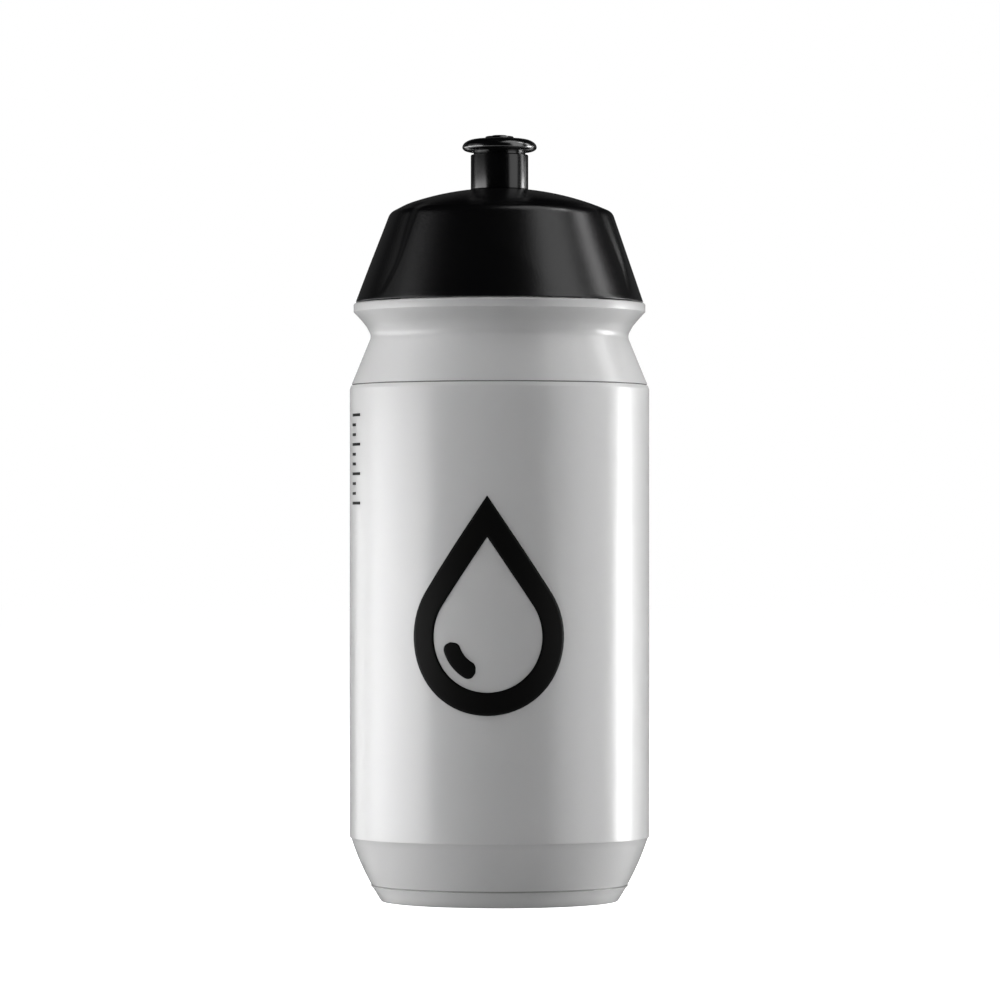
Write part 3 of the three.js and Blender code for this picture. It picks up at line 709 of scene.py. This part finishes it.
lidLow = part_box("lid_shell")[0].z / mm
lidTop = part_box("lid_shell")[1].z / mm
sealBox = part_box("sealing_ring")
seatHeight = sealBox[1].z / mm + lidSizes["clearance"]
ringBore = finishRadius + threadSizes["depth"] + threadSizes["rootGap"]
ringRadius = ringBore + lidSizes["ringWall"]
cornerRadius = ringBore + lidSizes["crownWall"]
cornerHeight = seatHeight + lidSizes["crownHeight"]
skirtRadius = bottleSizes["collarRadius"] - lidSizes["inset"]
skirtSlope = (skirtRadius - cornerRadius) / (cornerHeight - lidLow)
plugOuter = bottleSizes["bore"] - lidSizes["clearance"]
plugInner = plugOuter - lidSizes["plugWall"]
hollowTop = lidLow + (skirtRadius - lidSizes["wall"] - gripSizes["depth"] - ringRadius
                      - lidSizes["hollowGap"]) / skirtSlope
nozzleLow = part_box("nozzle_sleeve")[0].z / mm
chimneyTop = nozzleLow + chimneySizes["top"]


def domeOutside(r):
    return onDome(r, cornerHeight, lidSizes["domeRadius"], cornerRadius)


def domeInside(r):
    wall = lidSizes["domeWall"]
    top = domeOutside(0) - wall
    return top - (lidSizes["domeRadius"] - wall) + math.sqrt((lidSizes["domeRadius"] - wall) ** 2 - r * r)


def onGrip(r, z):  # whether this part of the lid's outline bends with the grip
    return r > cornerRadius + 0.6 or z > cornerHeight - 1 and r > lidSizes["stillRadius"]


def makeLid():
    s, c = lidSizes, chimneySizes
    bore = c["radius"] - c["wall"]
    beadLow = chimneyTop - c["beadHeight"]
    outside = [(skirtRadius, lidLow, 0.15), (cornerRadius, cornerHeight, s["cornerFillet"])]
    domeSteps, underSteps = 14, 8
    for i in range(2, domeSteps + 1):  # the corner's fillet takes up the first
        r = cornerRadius + (c["radius"] - cornerRadius) * i / domeSteps
        outside.append((r, domeOutside(r), 0.25 if i == domeSteps else 0))
    outside += [(c["radius"], beadLow - c["beadReach"], 0.1), (c["radius"] + c["beadReach"], beadLow, 0.15),
                (c["radius"] + c["beadReach"], chimneyTop - c["beadReach"], 0.2),
                (c["radius"], chimneyTop, 0.2), (bore, chimneyTop, 0.3), (bore, domeInside(bore), 0.4)]
    for i in range(1, underSteps + 1):
        r = bore + (plugInner - bore) * i / underSteps
        outside.append((r, domeInside(r), 0.8 if i == underSteps else 0))
    plugLow = seatHeight - s["plugDepth"]
    ringLow = lidLow + s["ringRise"]
    hollowOuter = skirtRadius - s["wall"] - skirtSlope * (hollowTop - lidLow)
    outside += [(plugInner, plugLow, 0.3), (plugOuter, plugLow, 0.6), (plugOuter, seatHeight, 0.15),
                (ringBore, seatHeight, 0.3), (ringBore, ringLow, 0.4), (ringRadius, ringLow, 0.4),
                (ringRadius, hollowTop, 0.6), (hollowOuter, hollowTop, 0.6),
                (skirtRadius - s["wall"], lidLow, 0.3)]
    lid = outlineWire("lidMoulding", dense(rounded(outside), s["rowSpacing"], onGrip))
    grow(lid, turnedOutline, Sides=s["sides"], Material=lidPlastic)
    joinInto(lid, [makeRibs()])  # the ribs move with the skin, and the rest stays straight
    g = gripSizes
    grow(lid, sweptHollows, Foot_Height=lidLow * mm, Corner_Height=cornerHeight * mm,
         Plain_Band=s["plainBand"] * mm, Foot_Radius=skirtRadius * mm, Corner_Radius=cornerRadius * mm,
         Wall=s["wall"] * mm, Hollows=g["hollows"], First_Ridge=math.radians(g["firstRidge"] - 90),
         Lean=math.radians(g["lean"]), Depth=g["depth"] * mm, Foot_Run=math.radians(g["footRun"]),
         Top_Run=math.radians(g["topRun"]), Foot_Step=math.radians(g["footStep"]),
         Top_Step=math.radians(g["topStep"]))
    joinInto(lid, [makeLidThread(), makePost(), makeSpokes()])
    lid.data.set_sharp_from_angle(angle=math.radians(32))
    return lid


def joinInto(first, others):  # the others become loose parts of the first piece's mesh
    shape = bmesh.new()
    for piece in [first] + others:
        shape.from_mesh(piece.data)
    shape.to_mesh(first.data)
    shape.free()
    for piece in others:
        bpy.data.objects.remove(piece)


def makeBox(name, low, high):  # a block with softened edges, in mm
    shape = bmesh.new()
    bmesh.ops.create_cube(shape, size=1)
    for vert in shape.verts:
        vert.co = Vector([(low[i] + (vert.co[i] + 0.5) * (high[i] - low[i])) * mm for i in range(3)])
    bmesh.ops.bevel(shape, geom=shape.edges[:], offset=0.15 * mm, segments=2, affect="EDGES")
    piece = newPiece(name, [])
    shape.to_mesh(piece.data)
    shape.free()
    return piece


def makeRibs():
    s = lidSizes
    low = lidLow + s["ribRise"]
    foot = skirtRadius - s["wall"] + s["ribRoot"]
    half = s["ribWidth"] / 2
    inner = ringRadius - s["ribRoot"]
    outline = [(inner, low), (foot - skirtSlope * (low - lidLow), low),
               (foot - skirtSlope * (hollowTop - lidLow), hollowTop + s["ribRoot"]),
               (inner, hollowTop + s["ribRoot"])]
    points = [(r * mm, side * half * mm, z * mm) for side in (-1, 1) for r, z in outline]
    sidesOf = [(i, (i + 1) % 4, (i + 1) % 4 + 4, i + 4) for i in range(4)]
    rib = newPiece("lidRib", points, faces=[(3, 2, 1, 0), (4, 5, 6, 7)] + sidesOf)
    grow(rib, ringOfCopies, Copies=s["ribs"], Material=lidPlastic)
    faceOutwards(rib)
    return rib


def makeLidThread():
    t = threadSizes
    flank = (t["root"] - t["crest"]) / 2 / t["depth"]
    below = t["root"] / 2 + t["crest"] / 2 - flank * t["rootGap"] + t["flankGap"]
    return makeRidge("lidThread", ringBore, -1, collarTop + t["start"] - below, lidPlastic)


def makePost():
    c = chimneySizes
    low = domeInside(0)
    plugLow = lidTop - c["plugHeight"]
    flare = c["plugRadius"] - c["postRadius"]
    corners = [(0, low, 0), (c["postRadius"], low, 0.3), (c["postRadius"], plugLow - flare, 0.4),
               (c["plugRadius"], plugLow, 0.2), (c["plugRadius"], lidTop - 0.35, 0.45),
               (c["postRadius"], lidTop - 0.02, 0.6), (0, lidTop, 0)]
    post = outlineWire("chimneyPost", rounded(corners))
    grow(post, turnedOutline, Sides=c["postSides"], Material=lidPlastic)
    faceOutwards(post)
    return post


def makeSpokes():
    c = chimneySizes
    low = domeInside(0) + 0.05
    reach = c["radius"] - c["wall"] / 2
    spoke = makeBox("chimneySpoke", (0, -c["spokeWidth"] / 2, low),
                    (reach, c["spokeWidth"] / 2, low + c["spokeHeight"]))
    grow(spoke, ringOfCopies, Copies=c["spokes"], Material=lidPlastic)
    return spoke


lid = makeLid()
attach(lid, "lid")
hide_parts("lid_shell")
print("lid ready:", len(lid.data.polygons), "faces")


sealSizes = {"fillet": 0.35, "sides": 200}
sleeveSizes = {
    "catchBore": 5.45, "bore": 6.05, "catchHeight": 0.9, "height": 8.2, "neckInset": 0.7, "neckHeight": 1.5,
    "headInset": 0.15, "throat": 3.6, "roofGap": 0.3, "sides": 128,
    "footGap": 0.08,  # its foot follows the dome this closely
}
mouthpieceSizes = {"wrap": 0.5, "rimLow": 1.1, "lowReach": 2.0, "rimHigh": 2.1, "highReach": 3.7,
                   "lipFlare": 0.25, "hole": 2.75, "lipWall": 0.6, "lipHeight": 0.4, "clearance": 0.3,
                   "sides": 160}

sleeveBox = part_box("nozzle_sleeve")
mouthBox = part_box("mouthpiece")
sleeveRadius = sleeveBox[1].x / mm
sleeveTop = sleeveBox[1].z / mm
shoulderHeight = nozzleLow + sleeveSizes["height"]
headLow = shoulderHeight + sleeveSizes["neckHeight"]
neckRadius = sleeveRadius - sleeveSizes["neckInset"]
headRadius = sleeveRadius - sleeveSizes["headInset"]


def makeSealingRing():
    low, high = sealBox[0].z / mm, sealBox[1].z / mm
    outer = sealBox[1].x / mm
    inner = plugOuter + lidSizes["clearance"]
    f = sealSizes["fillet"]
    corners = [(inner, low, f), (outer, low, f), (outer, high, f), (inner, high, f)]
    ring = outlineWire("sealingRing", rounded(corners))
    grow(ring, turnedOutline, Sides=sealSizes["sides"], Material=sealRubber)
    return ring


def makeSleeve():
    s = sleeveSizes
    roof = chimneyTop + s["roofGap"]
    catchTop = nozzleLow + s["catchHeight"]
    foot = [(r, domeOutside(r) + s["footGap"], 0.12) for r in (s["catchBore"], sleeveRadius)]
    corners = foot + [
        (sleeveRadius, shoulderHeight, 0.3),
        (neckRadius, shoulderHeight, 0.1), (neckRadius, headLow, 0.1), (headRadius, headLow, 0.1),
        (headRadius, sleeveTop, 0.2), (s["throat"], sleeveTop, 0.2), (s["throat"], roof, 0.2),
        (s["bore"], roof, 0.3), (s["bore"], catchTop, 0.1), (s["catchBore"], catchTop, 0.2),
    ]
    sleeve = outlineWire("slidingSleeve", rounded(corners))
    grow(sleeve, turnedOutline, Sides=s["sides"], Material=sleevePlastic)
    sleeve.data.set_sharp_from_angle(angle=math.radians(40))
    return sleeve


def makeMouthpiece():
    m = mouthpieceSizes
    rim = mouthBox[0].z / mm
    top = mouthBox[1].z / mm - m["lipHeight"]
    radius = mouthBox[1].x / mm
    ceiling = sleeveTop + m["clearance"]
    pocket = headRadius + m["clearance"]
    collar = neckRadius + m["clearance"]
    lip = m["hole"] + m["lipWall"]
    corners = [(collar, rim, 0.15)]
    widest = rim + m["rimLow"]
    for i in range(0, 7):
        angle = math.radians(-90 + 15 * i)
        corners.append((radius - m["lowReach"] + m["lowReach"] * math.cos(angle),
                        widest + m["rimLow"] * math.sin(angle), 0))
    for i in range(1, 10):
        angle = math.radians(10 * i)
        corners.append((radius - m["highReach"] + m["highReach"] * math.cos(angle),
                        widest + m["rimHigh"] * math.sin(angle), 0))
    corners += [
        (lip + m["lipFlare"], top, 0.3), (lip, top + m["lipHeight"], 0.25),
        (m["hole"], top + m["lipHeight"], 0.2),
        (m["hole"], ceiling, 0.1), (pocket, ceiling, 0.2), (pocket, rim + m["wrap"], 0.1),
        (collar, rim + m["wrap"], 0.1),
    ]
    cap = outlineWire("softMouthpiece", rounded(corners))
    grow(cap, turnedOutline, Sides=m["sides"], Material=mouthRubber)
    cap.data.set_sharp_from_angle(angle=math.radians(50))
    return cap


for piece, body, node, slotName in (
    (makeSealingRing(), "seal", "sealing_ring", "seal_rubber"),
    (makeSleeve(), "nozzle", "nozzle_sleeve", "nozzle_plastic"),
    (makeMouthpiece(), "nozzle", "mouthpiece", "soft_mouthpiece"),
):
    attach(piece, body)
    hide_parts(node)
    print(piece.name, "ready:", len(piece.data.polygons), "faces")


dropSizes = {"width": 38, "height": 53, "stroke": 5.6, "middle": 73.2, "bearing": -4.6, "glintRadius": 9.2,
             "glintStroke": 4.2, "glintFrom": 188, "glintTo": 252, "glintSteps": 28, "steps": 96,
             "across": 8}
scaleSizes = {"width": 3.2, "stroke": 0.7, "longScale": 2.0}
scaleColumns = [
    # name, bearing from the front, lowest mark, marks, spacing, a long one every
    ("sideScale", -77, 98, 10, 2.4, 3),
    ("backScale", 96, 48, 12, 6.0, 4),
]
inkLift = 0.01  # off the skin


def inkBand(name, inner, outer, closed):
    # A thin solid band of ink between two rows of points in the XZ plane, with its thickness along Y.
    across = dropSizes["across"]
    count = len(inner)
    points = []
    for depth in (inkLift, bottleSizes["inkDepth"] - 0.005):
        for a, b in zip(inner, outer):
            for k in range(across + 1):
                t = k / across
                points.append(((a[0] + (b[0] - a[0]) * t) * mm, depth * mm, (a[1] + (b[1] - a[1]) * t) * mm))
    row, layer = across + 1, count * (across + 1)
    faces = []
    spans = count if closed else count - 1
    for i in range(spans):
        n = (i + 1) % count
        for k in range(across):
            a, b, c, d = i * row + k, i * row + k + 1, n * row + k + 1, n * row + k
            faces += [(a, b, c, d), (a + layer, d + layer, c + layer, b + layer)]
        for k in (0, across):
            faces.append((i * row + k, n * row + k, n * row + k + layer, i * row + k + layer))
    if not closed:
        for i in (0, count - 1):
            for k in range(across):
                a, b = i * row + k, i * row + k + 1
                faces.append((a, b, b + layer, a + layer))
    return newPiece(name, points, faces=faces)


def dropOutline(radius, tip, steps):  # a round foot and two straight sides up to the tip
    lean = math.asin(radius / tip)
    points = []
    straight = steps // 4
    for i in range(straight):
        t = i / straight
        touch = (radius * math.cos(lean), radius * math.sin(lean))
        points.append((touch[0] * t, tip + (touch[1] - tip) * t))
    around = steps - 2 * straight
    for i in range(around + 1):
        angle = lean - (math.pi + 2 * lean) * i / around
        points.append((radius * math.cos(angle), radius * math.sin(angle)))
    for i in range(straight - 1, 0, -1):
        x, z = points[i]
        points.append((-x, z))
    return points


def makeDrop(name, bearing):
    d = dropSizes
    radius = d["width"] / 2
    tip = d["height"] - radius
    middle = d["middle"] - d["height"] / 2 + radius
    innerRadius = radius - d["stroke"]
    outer = dropOutline(radius, tip, d["steps"])
    inner = dropOutline(innerRadius, tip * innerRadius / radius, d["steps"])
    drop = inkBand(name, [(x, z + middle) for x, z in inner], [(x, z + middle) for x, z in outer], True)
    arc = d["glintSteps"]
    rows = [[], []]
    for i in range(arc + 1):
        angle = math.radians(d["glintFrom"] + (d["glintTo"] - d["glintFrom"]) * i / arc)
        end = min(i, arc - i) / 5
        half = d["glintStroke"] / 2 * math.sqrt(1 - (1 - min(end, 1)) ** 2) + 0.02
        for row, r in zip(rows, (d["glintRadius"] - half, d["glintRadius"] + half)):
            row.append((r * math.cos(angle), r * math.sin(angle) + middle))
    glint = inkBand(name + "Glint", rows[0], rows[1], False)
    joinInto(drop, [glint])
    grow(drop, wrappedOnPanel, Radius=panelRadius * mm, Bearing=math.radians(bearing - 90), Material=ink)
    faceOutwards(drop)
    return drop


def makeScale(name, bearing, low, count, spacing, longEvery):
    s = scaleSizes
    half = s["stroke"] / 2
    along = [s["width"] * i / 8 for i in range(9)]
    mark = inkBand(name, [(x, -half) for x in along], [(x, half) for x in along], False)
    mark.data.transform(Matrix.Translation((0, 0, low * mm)))
    grow(mark, graduation, Count=count, Spacing=spacing * mm, Long_Every=longEvery,
         Long_Scale=s["longScale"], Material=ink)
    grow(mark, wrappedOnPanel, Radius=panelRadius * mm, Bearing=math.radians(bearing - 90), Material=ink)
    faceOutwards(mark)
    return mark


prints = [makeDrop("frontDrop", dropSizes["bearing"]), makeDrop("backDrop", 180)]
prints += [makeScale(*column) for column in scaleColumns]
for piece in prints:
    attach(piece, "bottle")
print("print ready")
